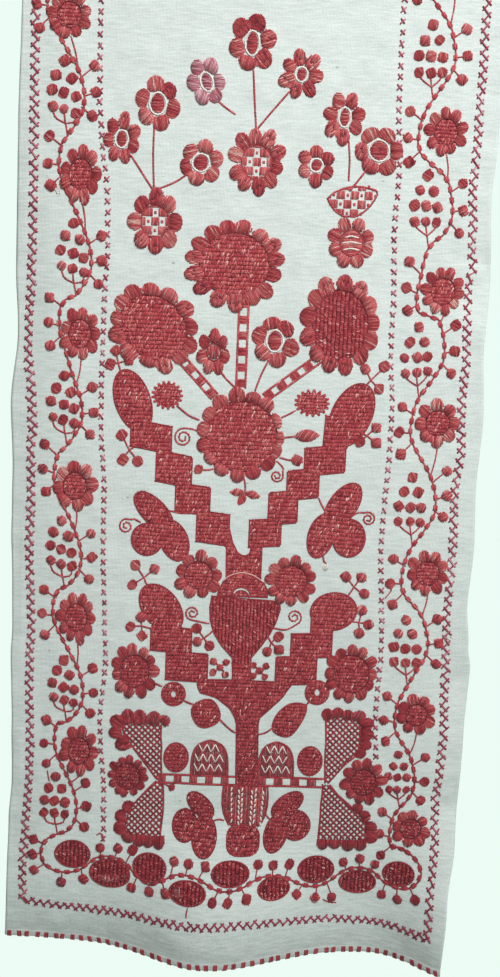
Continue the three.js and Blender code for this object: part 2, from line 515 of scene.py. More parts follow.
def without(shape, hole):
    rims = [(rim, hides + [hole[0]]) for rim, hides in shape[4]]
    rims += [(rim, hides + [lambda pu, pv: ~shape[0](pu, pv)]) for rim, hides in hole[4]]
    return (lambda pu, pv: shape[0](pu, pv) & ~hole[0](pu, pv)), *shape[1:4], rims


# Rows of runs inside a shape, each run as its start and end point
def runsInside(shape, pitch, turn):
    inside, u, v, reach = shape[:4]
    along = np.arange(-reach, reach, scanStep)
    rows = []
    for offset in np.arange(-reach + pitch / 2, reach, pitch):
        points = np.column_stack(turned(u, v, turn, along, offset))
        ends = np.flatnonzero(np.diff(np.concatenate([[0], inside(*points.T).astype(int), [0]])))
        rows.append([(points[a], points[b - 1]) for a, b in zip(ends[::2], ends[1::2])])
    return rows


# Satin stitch: threads side by side from edge to edge, over a little padding.
# True threads are finer; these are drawn wide enough to show.
satinWork = {"pitch": 1.4, "width": 1.65, "lift": 0.8, "toneSpread": 0.09, "endSpread": 0.12,
             "shortest": 1.2, "longest": 16, "stagger": 0.35, "overlap": 0.4}


def satin(work, shape, turn, tone, puff=0.0, pitch=satinWork["pitch"]):
    rows = [row for row in runsInside(shape, pitch, turn) if row]
    width = pitch * satinWork["width"] / satinWork["pitch"]
    for i, row in enumerate(rows):
        padding = puff * math.sqrt(1 - ((2 * i + 1) / len(rows) - 1) ** 2)
        for a, b in row:
            length = np.linalg.norm(b - a)
            if length < satinWork["shortest"]:
                continue
            spread = rng.normal(0, satinWork["endSpread"], (2, 2))
            parts = math.ceil(length / satinWork["longest"])
            marks = np.linspace(0, 1, parts + 1)[:, None]
            marks[1:-1] += rng.uniform(-satinWork["stagger"], satinWork["stagger"], (parts - 1, 1)) / parts
            path = (a + spread[0]) * (1 - marks) + (b + spread[1]) * marks
            overlap = np.diff(path, axis=0) / length * satinWork["overlap"] * (parts > 1)
            sew(work, path[:-1] - overlap, path[1:] + overlap, width, satinWork["lift"] + padding,
                tone + rng.normal(0, satinWork["toneSpread"]))


# Darning: dark under-threads laid as painted shade between the ribs, ribs of short slanted stitches over
# them, and rubbed flecks, mostly low down
shadeUnderlay = {"pitch": 2.15, "width": 3.1, "lift": 0.56, "tone": 0.05, "longest": 14, "joint": 1.8}
darning = {"rib": 4.3, "pitch": 1.55, "width": 1.8, "lift": 0.9, "overlap": 0.3, "uprightOverlap": -0.15,
           "ragged": 0.22, "sway": 0.3, "swayLength": 21, "swayStart": 6, "slant": 0.7, "slantSpread": 0.35,
           "marks": 11, "toneSpread": 0.12, "paleShare": 0.014, "pale": 0.4,
           "shortShare": 0.006, "short": 0.6}
flecks = {"share": 0.06, "lowShare": 0.18, "below": 330, "over": 230, "length": 0.42, "wander": 1.2,
          "width": 1.05, "lift": 0.3, "above": 0.7, "tone": 0.74, "lowTone": 0.18}


# Dark under-threads: painted shade that shows in the gaps between darning ribs
def layShadeUnderlay(work, shape, turn):
    for a, b in [run for row in runsInside(shape, shadeUnderlay["pitch"], turn) for run in row]:
        length = np.linalg.norm(b - a)
        if length > 2 * stitchEnd:
            path = evenSteps(np.array([a, b]), shadeUnderlay["longest"])
            starts, ends = path[:-1].copy(), path[1:].copy()
            joint = (b - a) / length * shadeUnderlay["joint"]  # each thread runs on past the next one's start
            starts[1:] -= joint
            ends[:-1] += joint
            sew(work, starts, ends, shadeUnderlay["width"], shadeUnderlay["lift"], shadeUnderlay["tone"])


def darn(work, shape, turn, tone, rib=darning["rib"]):
    layShadeUnderlay(work, shape, turn)
    inside, u, v, reach = shape[:4]
    ribs = np.arange(-reach, reach, rib)[:, None, None]
    places = np.arange(-reach, reach, darning["pitch"])[:, None]
    places = places + rng.uniform(0, darning["pitch"], (len(ribs), 1, 1))
    uneven = rng.normal(0, 1, (2, *places.shape[:2], 1))
    overlap = darning["uprightOverlap" if turn == 90 else "overlap"]  # upright gaps get no shade from light above, so they are left wider to show the painted shade
    half = rib / 2 + overlap + darning["ragged"] * uneven[0]
    slant = darning["slant"] + darning["slantSpread"] * uneven[1]
    swayStart = rng.uniform(0, darning["swayStart"], (len(ribs), 1, 1))
    sway = darning["sway"] * np.sin(2 * math.pi * places / darning["swayLength"] + swayStart)
    marks = np.linspace(-1, 1, darning["marks"])
    along, up = np.broadcast_arrays(places + slant * marks, ribs + sway + half * marks)
    points = np.stack(turned(u, v, turn, along, up), -1)
    covered = inside(points[..., 0], points[..., 1])
    first, last = covered.argmax(-1), len(marks) - 1 - covered[..., ::-1].argmax(-1)
    i, j = np.nonzero((last - first > 1) & (covered.sum(-1) == last - first + 1))
    starts, ends = points[i, j, first[i, j]], points[i, j, last[i, j]]
    short = rng.random(len(starts)) < darning["shortShare"]
    ends = np.where(short[:, None], starts + (ends - starts) * darning["short"], ends)
    tones = tone + rng.normal(0, darning["toneSpread"], len(starts))
    tones += darning["pale"] * (rng.random(len(starts)) < darning["paleShare"])
    sew(work, starts, ends, darning["width"], darning["lift"], tones)
    low = fade((flecks["below"] - starts[:, 1]) / flecks["over"])
    rubbed = rng.random(len(starts)) < flecks["share"] + flecks["lowShare"] * low
    rubbedTones = flecks["tone"] + flecks["lowTone"] * low[rubbed]
    middle, half = (starts + ends)[rubbed] / 2, (ends - starts)[rubbed] * flecks["length"] / 2
    middle = middle + half * rng.uniform(-flecks["wander"], flecks["wander"], (len(half), 1))
    sew(work, middle - half, middle + half, flecks["width"], flecks["lift"], rubbedTones, flecks["above"])


# Smooth lines through some points, and even steps along a line
curveParts = 12


def curveThrough(points):
    t = np.linspace(0, 1, curveParts, endpoint=False)[:, None]
    return np.vstack([0.5 * (2 * b + (c - a) * t + (2 * a - 5 * b + 4 * c - d) * t ** 2
                             + (3 * b - a - 3 * c + d) * t ** 3)
                      for a, b, c, d in zip(points, points[1:], points[2:], points[3:])])


def evenSteps(line, step):
    run = np.concatenate([[0], np.cumsum(np.linalg.norm(np.diff(line, axis=0), axis=1))])
    marks = np.linspace(0, run[-1], max(2, round(run[-1] / step) + 1))
    return np.column_stack([np.interp(marks, run, line[:, 0]), np.interp(marks, run, line[:, 1])])


def smoothPath(points, step):
    points = np.array(points, float)
    ends = np.vstack([2 * points[0] - points[1], points, 2 * points[-1] - points[-2]])
    return evenSteps(np.vstack([curveThrough(ends), points[-1:]]), step)


# Stem stitch: slanted stitches that overlap along a line
stemWork = {"width": 2.1, "lift": 1.0, "step": 3.2, "overlap": 0.45, "slant": 0.16, "toneSpread": 0.06,
            "edgeOver": 0.15}
ringWork = {"fewest": 12, "perMillimetre": 1.2}
spiralWork = {"perTurn": 12, "innermost": 0.25}


def stem(work, points, width=stemWork["width"], tone=0.42, over=0.0):
    sewAlong(work, smoothPath(points, stemWork["step"]), width, tone, over)


def sewAlong(work, path, width, tone, over, hides=()):
    ahead = np.diff(path, axis=0)
    aside = asideOf(ahead) * width * stemWork["slant"]
    tones = tone + rng.normal(0, stemWork["toneSpread"], len(ahead))
    starts = path[:-1] - ahead * stemWork["overlap"] - aside
    ends = path[1:] + ahead * stemWork["overlap"] + aside
    middle = (path[:-1] + path[1:]) / 2
    shown = ~np.any([hide(*middle.T) for hide in hides], axis=0) if hides else np.ones(len(ahead), bool)
    sew(work, starts[shown], ends[shown], width, stemWork["lift"], tones[shown], over)


# A fine stem-stitch line round a shape
def edge(work, shape, width=1.5, tone=0.36):
    for rim, hides in shape[4]:
        sewAlong(work, evenSteps(rim, stemWork["step"]), width, tone, stemWork["edgeOver"], hides)


def ring(work, u, v, halfAcross, halfUp, turn=0, width=1.6, tone=0.32, over=0.3):
    count = max(ringWork["fewest"], round(math.hypot(halfAcross, halfUp) * ringWork["perMillimetre"]))
    angles = np.linspace(0, 2 * math.pi, count + 1)
    across, up = halfAcross * np.cos(angles), halfUp * np.sin(angles)
    stem(work, np.column_stack(turned(u, v, turn, across, up)), width, tone, over)


def spiral(work, u, v, radius, start, turns, stalk, width=1.9):
    angles = np.radians(start + np.linspace(0, 360 * turns, round(abs(turns) * spiralWork["perTurn"])))
    shrink = np.linspace(1, spiralWork["innermost"], len(angles)) * radius
    curl = np.column_stack([u + shrink * np.cos(angles), v + shrink * np.sin(angles)])
    stem(work, np.vstack([np.reshape(stalk, (-1, 2)), curl]), width)


# A bead vine: lens-shaped knots of three stitches strung on a stem; the outer two are shorter and lower
vineWork = {"bead": 8.6, "pitch": 10.8, "width": 4.4, "lift": 1.3, "stem": 1.9, "strand": 0.52, "apart": 0.29,
            "shorter": 0.28, "lower": 0.3, "spread": 0.15, "tone": 0.42, "toneSpread": 0.07, "over": 0.2}


def beadVine(work, points):
    stem(work, points, vineWork["stem"], vineWork["tone"])
    path = smoothPath(points, vineWork["pitch"])
    ahead = np.diff(path, axis=0)
    aside = asideOf(ahead)
    ahead = ahead / np.linalg.norm(ahead, axis=1)[:, None]
    middle = (path[:-1] + path[1:]) / 2
    for strand in (-1, 1, 0):
        half = vineWork["bead"] / 2 * (1 - vineWork["shorter"] * abs(strand))
        sideways = aside * strand * vineWork["width"] * vineWork["apart"]
        sideways = sideways + rng.normal(0, vineWork["spread"], middle.shape)
        sew(work, middle - ahead * half + sideways, middle + ahead * half + sideways,
            vineWork["width"] * vineWork["strand"], vineWork["lift"] * (1 - vineWork["lower"] * abs(strand)),
            vineWork["tone"] + rng.normal(0, vineWork["toneSpread"], len(middle)), vineWork["over"])


# A berry: a small padded round of satin, no two quite alike
berryWork = {"puff": 0.8, "pitch": 1.25, "shift": 0.4, "size": (0.94, 1.05), "slim": (0.92, 1.0),
             "turn": (-45, 45), "power": (2.0, 3.6), "threads": (20, 160), "toneSpread": 0.035}
sprigWork = {"foot": 2.0, "stalk": 1.8, "berry": 5.7}


def berry(work, u, v, radius, tone=0.45):
    u, v = u + rng.normal(0, berryWork["shift"]), v + rng.normal(0, berryWork["shift"])
    radius = radius * rng.uniform(*berryWork["size"])
    shape = oval(u, v, radius * rng.uniform(*berryWork["slim"]), radius, rng.uniform(*berryWork["turn"]),
                 rng.uniform(*berryWork["power"]))
    satin(work, shape, rng.uniform(*berryWork["threads"]), tone + rng.normal(0, berryWork["toneSpread"]),
          berryWork["puff"], berryWork["pitch"])


# Three berries on stalks from one fork
def sprig(work, foot, fork, berries):
    stem(work, [foot, fork], sprigWork["foot"])
    for place in berries:
        stem(work, [fork, place], sprigWork["stalk"])
        berry(work, *place, sprigWork["berry"])


# Flower: round petals of padded satin about a dot in a white ring, a dark dot, a darned disc, a check or bars
flowerWork = {"pitch": 1.3, "turnSpread": 2.2, "lengthSpread": 0.04, "toneSpread": 0.06, "puff": 1.1,
              "widest": 0.4, "fullness": (0.95, 1.04), "slant": 60, "slantAbove": 0.3,
              "sidePoints": 4, "tipPoints": 8}
eyeMiddle = {"inset": 2, "darker": 0.06, "puff": 0.5, "ringInset": 0.8, "ring": 1.7, "ringTone": 0.8}
darkMiddle = {"inset": 1, "darker": 0.15, "puff": 0.5, "ring": 1.6, "ringTone": 0.2}
netMiddle = {"spread": 1.05, "darker": 0.04, "wideFrom": 20, "wideRib": 4.1, "narrowRib": 3.6,
             "ring": 1.6, "ringTone": 0.06, "ringOver": 0.6}
checkMiddle = {"ringSpread": 1.02, "ring": 1.7}
barMiddle = {"bars": ((0.5, 0.5), (0.05, 0.75), (-0.45, 0.6)),  # share of the hub's height and of its width
             "sag": 0.1, "width": 1.7, "tone": 0.65, "over": 0.5, "ring": 1.6}


def petal(work, middle, along, across, base, tip, halfWidth, tone, baseShare, slant=0):
    widest = base + flowerWork["widest"] * (tip - base)
    rise = np.linspace(0, 1, flowerWork["sidePoints"], endpoint=False)
    angles = np.linspace(math.pi / 2, 0, flowerWork["tipPoints"])
    out = np.concatenate([base + (widest - base) * rise, widest + (tip - widest) * np.cos(angles)])
    sides = baseShare + (1 - baseShare) * np.sin(rise * math.pi / 2)
    half = halfWidth * np.concatenate([sides, np.sin(angles)])
    out, half = np.concatenate([out, out[-2::-1]]), np.concatenate([half, -half[-2::-1]])
    rim = middle + out[:, None] * along + half[:, None] * across
    turn = math.degrees(math.atan2(along[1], along[0])) + slant
    satin(work, patch(rim), turn, tone, flowerWork["puff"], flowerWork["pitch"])


def flower(work, nets, u, v, halfAcross, halfUp, petals, first, hubAcross, hubUp, kind, tone, turn=0):
    c, s = math.cos(math.radians(turn)), math.sin(math.radians(turn))
    frameAcross, frameUp = np.array([c, s]) * halfAcross, np.array([-s, c]) * halfUp
    for i in range(petals):
        angle = math.radians(first + 360 * i / petals + rng.normal(0, flowerWork["turnSpread"]))
        along = math.cos(angle) * frameAcross + math.sin(angle) * frameUp
        across = -math.sin(angle) * frameAcross + math.cos(angle) * frameUp
        hub = 1 / math.hypot(math.cos(angle) * halfAcross / hubAcross, math.sin(angle) * halfUp / hubUp)
        widest = hub + flowerWork["widest"] * (1 - hub)
        halfWidth = math.tan(math.pi / petals) * widest * rng.uniform(*flowerWork["fullness"])
        slanted = kind == "eye" and math.sin(angle) > flowerWork["slantAbove"] and i % 2
        slant = flowerWork["slant"] if slanted else 0
        tip = 1 + rng.normal(0, flowerWork["lengthSpread"])
        petalTone = tone + rng.normal(0, flowerWork["toneSpread"])
        petal(work, np.array([u, v]), along, across, hub, tip, halfWidth, petalTone, hub / widest, slant)
    flowerMiddle(work, nets, u, v, hubAcross, hubUp, kind, tone, turn)


def flowerMiddle(work, nets, u, v, across, up, kind, tone, turn):
    if kind == "eye":
        satin(work, oval(u, v, across - eyeMiddle["inset"], up - eyeMiddle["inset"], turn), 0,
              tone - eyeMiddle["darker"], eyeMiddle["puff"])
        ring(whiteStitches, u, v, across - eyeMiddle["ringInset"], up - eyeMiddle["ringInset"], turn,
             eyeMiddle["ring"], eyeMiddle["ringTone"])
    elif kind == "dark":
        satin(work, oval(u, v, across - darkMiddle["inset"], up - darkMiddle["inset"], turn), 90,
              tone - darkMiddle["darker"], darkMiddle["puff"])
        ring(work, u, v, across, up, turn, darkMiddle["ring"], darkMiddle["ringTone"])
    elif kind in ("net", "ribs"):
        rib = netMiddle["wideRib"] if across > netMiddle["wideFrom"] else netMiddle["narrowRib"]
        size = (u, v, across * netMiddle["spread"], up * netMiddle["spread"], turn)
        darn(nets, oval(*size), 0 if kind == "net" else 90, tone - netMiddle["darker"], rib)
        ring(nets, *size, netMiddle["ring"], netMiddle["ringTone"], netMiddle["ringOver"])
    elif kind == "check":
        checks(work, oval(u, v, across, up, turn), u, v, tone)
        spread = checkMiddle["ringSpread"]
        ring(work, u, v, across * spread, up * spread, turn, checkMiddle["ring"])
    elif kind == "bars":
        satin(work, oval(u, v, across, up, turn), 0, tone)
        for rise, share in barMiddle["bars"]:
            low = v + up * (rise - barMiddle["sag"])
            stem(whiteStitches, [(u - across * share, low), (u, v + up * rise), (u + across * share, low)],
                 barMiddle["width"], barMiddle["tone"], barMiddle["over"])
        ring(work, u, v, across, up, turn, barMiddle["ring"])


# Checkered filling: squares of satin, and bare ones with a dot where enough corners lie inside
checkWork = {"width": 7, "height": 9, "overlap": 0.3, "power": 14, "dot": 1.9, "dotWidth": 3, "dotLift": 0.9}


def checks(work, shape, u, v, tone, corners=4):
    width, height = checkWork["width"], checkWork["height"]
    cornersAcross, cornersUp = np.array([-1, 1, 1, -1]) * width / 2, np.array([-1, -1, 1, 1]) * height / 2
    halfAcross, halfUp = width / 2 + checkWork["overlap"], height / 2 + checkWork["overlap"]
    count = math.ceil(shape[3] / width)
    for i in range(-count, count + 1):
        for j in range(-count, count + 1):
            cu, cv = u + i * width, v + j * height
            covered = np.count_nonzero(shape[0](cu + cornersAcross, cv + cornersUp))
            if (i + j) % 2 and covered >= corners:
                sew(work, [cu, cv - checkWork["dot"]], [cu, cv + checkWork["dot"]], checkWork["dotWidth"],
                    checkWork["dotLift"], tone)
            elif covered:
                square = oval(cu, cv, halfAcross, halfUp, 0, checkWork["power"])
                satin(work, (lambda pu, pv: square[0](pu, pv) & shape[0](pu, pv), *square[1:]), 90, tone)


# Ladder: two rails with squares of satin between them, every other one left bare
ladderWork = {"rail": 2.5, "square": 8.4, "half": 0.52, "power": 12, "tone": 0.45}


def ladder(work, foot, head, width):
    foot, head = np.array(foot, float), np.array(head, float)
    length = np.linalg.norm(head - foot)
    ahead = (head - foot) / length
    aside = np.array([-ahead[1], ahead[0]]) * width / 2
    for side in (aside, -aside):
        stem(work, [foot + side, (foot + head) / 2 + side, head + side], ladderWork["rail"],
             ladderWork["tone"])
    turn = math.degrees(math.atan2(aside[1], aside[0]))
    count = round(length / ladderWork["square"])
    for i in range(0, count, 2):
        middle = foot + ahead * (i + 0.5) * length / count
        square = oval(*middle, width / 2, length / count * ladderWork["half"], turn, ladderWork["power"])
        satin(work, square, turn, ladderWork["tone"])


# Lattice: threads crossed on the slant, each from one crossing to the next
latticeWork = {"pitch": 4.6, "width": 2.25, "lift": 0.9, "overlap": 0.12, "tone": 0.3, "toneSpread": 0.06,
               "layer": 0.2}


def lattice(work, shape):
    pitch = latticeWork["pitch"]
    for layer, turn in enumerate((45, -45)):
        for a, b in [run for row in runsInside(shape, pitch, turn) for run in row]:
            path = smoothPath([a, b], pitch)
            overlap = np.diff(path, axis=0) * latticeWork["overlap"]
            tones = latticeWork["tone"] + rng.normal(0, latticeWork["toneSpread"], len(path) - 1)
            sew(work, path[:-1] - overlap, path[1:] + overlap, latticeWork["width"], latticeWork["lift"],
                tones, latticeWork["layer"] * layer)


# Border lines. Herringbone: slanted stitches that cross near both edges. Crosses: one small cross at a time.
lineWork = {"reach": 1.0, "thread": 2.1, "lift": 1.1, "spread": 0.5, "toneSpread": 0.1, "layer": 0.3}
crossWork = {"thread": 0.95, "spread": 0.4, "tone": 0.5, "toneSpread": 0.12}  # thread: share of lineWork's


def herringbone(work, points, width, tone, pitch):
    path = smoothPath(points, pitch)
    count = len(path) - 1
    ahead = np.diff(path, axis=0)
    aside = asideOf(ahead) * width / 2
    for layer, (side, shift) in enumerate(((1, 0.0), (-1, 0.5))):
        starts = path[:-1] + ahead * shift + aside * side
        ends = path[:-1] + ahead * (shift + lineWork["reach"]) - aside * side
        uneven = rng.normal(0, lineWork["spread"], (2, count, 2))
        tones = tone + rng.normal(0, lineWork["toneSpread"], count)
        sew(work, starts + uneven[0], ends + uneven[1], lineWork["thread"], lineWork["lift"], tones,
            lineWork["layer"] * layer)


def crosses(work, points, pitch, halfAcross, halfUp):
    for place in smoothPath(points, pitch):
        for layer, slant in enumerate((1, -1)):
            reach = np.array([halfAcross * slant, halfUp])
            uneven = rng.normal(0, crossWork["spread"], (2, 2))
            tone = crossWork["tone"] + rng.normal(0, crossWork["toneSpread"])
            sew(work, place - reach + uneven[0], place + reach + uneven[1],
                lineWork["thread"] * crossWork["thread"], lineWork["lift"], tone, lineWork["layer"] * layer)


# Tree flowers: u, v, half across, half up, petals, first petal in degrees, half sizes of the middle,
# its kind, tone, turn in degrees
treeFlowers = [
    (-10, 950, 25, 29, 6, 15, 8, 12.7, "eye", 0.5),
    (40, 922, 23, 26, 7, 97, 7, 8, "eye", 0.5), (-102, 888, 24, 27, 6, 104, 9.2, 11.5, "eye", 0.5),
    (-137, 852, 20, 26, 7, 80, 7.4, 9.5, "eye", 0.48), (-57, 832, 23, 24, 6, 78, 9.7, 9.7, "eye", 0.5),
    (-1, 835, 30, 35, 10, 60, 15, 17, "check", 0.52), (59, 834, 20, 21, 6, 90, 7.5, 7.5, "eye", 0.5),
    (85, 882, 22, 27, 7, 65, 7, 10.5, "eye", 0.5), (121, 851, 25, 26, 6, 97, 11, 11.5, "eye", 0.5, 25),
    (98, 759, 25, 27, 8, 68, 12, 13, "bars", 0.52), (-101, 772, 28, 33, 8, 92, 14, 16, "check", 0.5),
    (-37, 643, 19, 26, 7, 90, 7, 9, "dark", 0.48), (25, 657, 25, 27, 6, 103, 9.5, 12, "eye", 0.52),
    (-44, 410, 26, 27, 9, 85, 14, 14, "net", 0.48), (53, 408, 28, 28, 11, 80, 16, 16, "net", 0.48),
    (-108, 304, 27, 31, 11, 95, 15, 17, "net", 0.44), (121, 310, 29, 33, 12, 90, 18, 20, "net", 0.46),
    (-112, 187, 23, 24, 12, 85, 13, 14, "net", 0.4), (140, 191, 25, 27, 10, 80, 13, 14, "net", 0.42),
]
fadedFlower = (-54, 911, 20, 25, 6, 50, 7, 10.5, "eye", 0.66, 20)  # sewn in the rose thread
# Sunflowers: the same columns
sunflowers = [
    (-19, 733, 51, 45, 15, 78, 34, 30, "net", 0.5, 0), (-99, 666, 51, 42, 13, 20, 35, 29, "net", 0.5, -40),
    (91, 676, 42, 52, 13, 88, 27, 34, "ribs", 0.45, 0), (-5, 558, 48, 48, 15, 75, 35, 35, "net", 0.5, 0),
]
treeStems = [
    [(-8, 924), (-6, 900), (-3, 867)], [(28, 904), (14, 887), (-2, 867)],
    [(-45, 896), (-36, 888), (-25, 881)], [(-105, 864), (-105, 835), (-103, 801)],
    [(-127, 836), (-116, 820), (-104, 803)], [(-68, 822), (-82, 812), (-102, 803)],
    [(90, 860), (92, 840), (92, 821)], [(110, 832), (101, 820), (94, 811)],
    [(-30, 624), (-22, 615), (-13, 607)], [(20, 638), (13, 623), (7, 606)],
    [(-72, 586), (-60, 577), (-50, 573)], [(49, 586), (42, 582), (36, 579)],
    [(38, 558), (45, 559), (50, 560)], [(36, 537), (44, 535), (49, 535)],
    [(-44, 521), (-39, 521), (-34, 522)], [(0, 512), (1, 505), (1, 499)], [(78, 496), (82, 488), (87, 480)],
    [(-76, 477), (-66, 475), (-54, 475)], [(-89, 293), (-84, 290), (-79, 288)],
    [(-54, 273), (-50, 271), (-44, 269)], [(-16, 254), (-8, 246), (0, 240)],
    [(73, 271), (76, 275), (79, 278)], [(40, 246), (33, 241), (26, 239)],
    [(-17, 142), (-12, 143), (-8, 142)], [(-72, 180), (-69, 178), (-66, 177)],
    [(38, 150), (40, 147), (42, 145)], [(85, 436), (86, 431), (88, 428)],
]
flowerStitches, netStitches, stemStitches, whiteStitches, roseStitches = [], [], [], [], []
for row in treeFlowers + sunflowers:
    flower(flowerStitches, netStitches, *row)
flower(roseStitches, roseStitches, *fadedFlower)
for points in treeStems:
    stem(stemStitches, points)

# The checkered basket among the top flowers: v, left, right
basket = outline([(815, 97, 106), (812, 86, 121), (808, 78, 122), (802, 72, 119), (796, 75, 115),
                  (790, 80, 109), (785, 88, 101)])
checks(flowerStitches, basket, u=92, v=797, tone=0.48, corners=2)
edge(stemStitches, basket, width=1.9, tone=0.4)

# Ladder stems: foot, head, width
ladders = [((-8, 608), (-8, 697), 9.5), ((-35, 598), (-69, 634), 8.5), ((18, 599), (70, 640), 8.5)]
for foot, head, width in ladders:
    ladder(stemStitches, foot, head, width)

# Arms: a leaf at the end, then steps down to the trunk
upperArms = joined(
    oval(-118, 590, 33, 18, -70), step(-119, -77, 540, 568, 7), step(-92, -55, 505, 537, 6),
    step(-71, -35, 475, 505, 4), step(-48, -14, 444, 477, 4),
    oval(107, 584, 35, 20.5, 67), patch([(81, 583), (114, 574), (103, 548), (79, 546)]),
    step(61, 103, 522, 551, -6), step(44, 77, 495, 526, -5), step(26, 56, 468, 502, -4),
    step(7, 40, 443, 472, -3),
    patch([(-30, 450), (-14, 462), (-10, 446), (-4, 435), (2, 432), (8, 434), (11, 446), (9, 462), (26, 455),
           (21, 442), (21, 408), (-15, 408), (-16, 441)]))
# The tree's body by its left and right edge at some heights: v, left, right
crescent = without(oval(1.5, 391.5, 9, 7), oval(1.5, 389, 7.5, 6))
cap = outline([(414, -4, 7), (411, -11, 15), (405, -17, 24), (398, -21, 28), (389, -24, 29)])
cap = without(cap, crescent)
vase = patch([(-29, 388), (-31, 376), (-30, 362), (-26, 349), (-17, 335), (-5, 322), (-5, 312), (14, 312),
              (14, 322), (24, 335), (33, 349), (39, 362), (43, 376), (42, 385)])
trunk = joined(
    outline([(316, -5, 14), (298, -4, 15), (297, -41, 60), (290, -41, 55), (283, -38, 51), (278, -21, 47),
             (267, -6, 36), (257, 0, 26), (250, 2, 25), (182, 4, 27)]),
    oval(-82, 373, 29, 19, -52), step(-92, -62, 348, 368, 3), step(-92, -49, 326, 353, 3),
    step(-75, -31, 295, 326, 2), oval(99, 377, 24.5, 20, 12), step(76, 99, 345, 378, 0),
    step(56, 99, 326, 352, -2), step(41, 84, 296, 326, -2))
# Hearts of three lobes each
hearts = [
    (oval(-93, 476, 26, 12.5, -44), oval(-99, 446, 16.3, 17), oval(-71, 446, 14.5, 22.5, 23)),
    (oval(103, 490, 27, 14.5, 57), oval(111, 456, 17, 20), oval(82, 457, 13.5, 24, -14)),
    (oval(-33, 158, 18, 10, -44), oval(-49, 136, 13.3, 17), oval(-28, 126, 13.3, 21.5)),
    (oval(60, 162, 20, 10.8, 41), oval(70, 140, 15.5, 16.3), oval(49, 131, 12.2, 21, -15)),
]
bodies = [(upperArms, 1, 4.0), (cap, 0, 3.2), (trunk, 0, 4.0), (vase, 90, 3.6)]
bodies += [(joined(*lobes), -3, 4.2) for lobes in hearts]
bodyStitches = []
for shape, turn, rib in bodies:
    darn(bodyStitches, shape, turn, tone=0.43, rib=rib)
    edge(bodyStitches, shape, tone=0.26)
wornEdge = [(-18, 405), (-11, 411), (1, 414.5), (13, 412), (23, 406)]  # on the cap
stem(bodyStitches, wornEdge, width=1.1, tone=0.95, over=0.6)

# Leaves, ovals, the bulb and two rings
fillings = [
    oval(-31, 260, 14.5, 15, 25, 2.5),
    blob([(44, 261), (58, 274), (75, 273), (71, 255), (58, 238), (41, 244)]),
    oval(-61, 210, 13, 16), oval(82, 212, 13, 16), oval(14, 123, 17.5, 15.5, 0, 3),
    *(without(oval(u, v, 12.5, 13), oval(u, v, 3.4, 4.6)) for u, v in ((-66, 280), (86, 288))),
]
for shape in fillings:
    darn(netStitches, shape, turn=0, tone=0.45, rib=3.9)
    edge(netStitches, shape)
satin(flowerStitches, leaf(62, 561, 14, 7, 8), turn=60, tone=0.46)
for u, v, length, width, turn in ((-7, 499, 9, 4.6, 4), (9, 497, 9, 4.8, -10), (-2, 491.5, 8, 4.6, 58)):
    satin(flowerStitches, leaf(u, v, length, width, turn), turn + 60, tone=0.45)

# Burrs: ovals with spikes all round
burrWork = {"inset": 0.8, "rib": 3.2, "tone": 0.46, "spikes": 17, "tip": 2.6, "foot": -2, "spread": 0.13,
            "width": 2.1, "lift": 0.8, "spikeTone": 0.42}
for u, v, halfAcross, halfUp in ((-83, 597, 14, 12.5), (66, 595, 16, 12)):
    bur = oval(u, v, halfAcross - burrWork["inset"], halfUp - burrWork["inset"])
    darn(netStitches, bur, turn=0, tone=burrWork["tone"], rib=burrWork["rib"])
    for angle in np.linspace(0, 2 * math.pi, burrWork["spikes"], endpoint=False):
        for side in (-burrWork["spread"], burrWork["spread"]):
            foot, tip = [(u + math.cos(turn) * (halfAcross + out), v + math.sin(turn) * (halfUp + out))
                         for turn, out in ((angle + side, burrWork["foot"]), (angle, burrWork["tip"]))]
            sew(stemStitches, foot, tip, burrWork["width"], burrWork["lift"], burrWork["spikeTone"])

# Spirals: u, v, radius, start in degrees, turns, stalk
spirals = [
    (-65, 554, 9.5, 90, 1.8, [(-46, 560), (-56, 563)]), (33, 518, 7, 30, -1.6, [(33, 533), (39, 527)]),
    (-121, 459, 8, 60, 1.6, [(-107, 464), (-113, 467)]), (130, 477, 7.5, 120, -1.7, [(111, 478), (119, 483)]),
    (-49, 369, 7.5, 250, -1.6, [(-32, 358), (-42, 360)]), (58, 369, 8, -60, 1.6, [(37, 356), (50, 355)]),
]
for row in spirals:
    spiral(stemStitches, *row)

# Sprigs of three berries: foot, fork, berries
sprigs = [
    ((-131, 618), (-134, 628), [(-137, 641), (-143, 626), (-124, 631)]),
    ((-114, 543), (-120, 539), [(-128, 554), (-127, 529), (-111, 528)]),
    ((120, 615), (125, 621), [(119, 632), (138, 635), (134, 612)]),
    ((117, 567), (124, 564), [(133, 573), (117, 557), (134, 556)]),
    ((-98, 398), (-101, 405), [(-110, 418), (-90, 415), (-113, 397)]),
    ((-90, 350), (-102, 353), [(-103, 363), (-114, 352), (-101, 342)]),
    ((113, 394), (119, 404), [(110, 415), (126, 415), (129, 397)]),
    ((118, 367), (126, 366), [(129, 379), (137, 365), (127, 355)]),
    ((-27, 350), (-36, 342), [(-44, 353), (-43, 338), (-30, 334)]),
    ((31, 347), (35, 340), [(42, 347), (32, 330), (44, 333)]),
]
berryStitches = []
for foot, fork, berries in sprigs:
    sprig(berryStitches, foot, fork, berries)
for u, v, radius in ((53, 535, 6), (-48, 521, 5), (-65, 176, 4)):
    berry(berryStitches, u, v, radius)

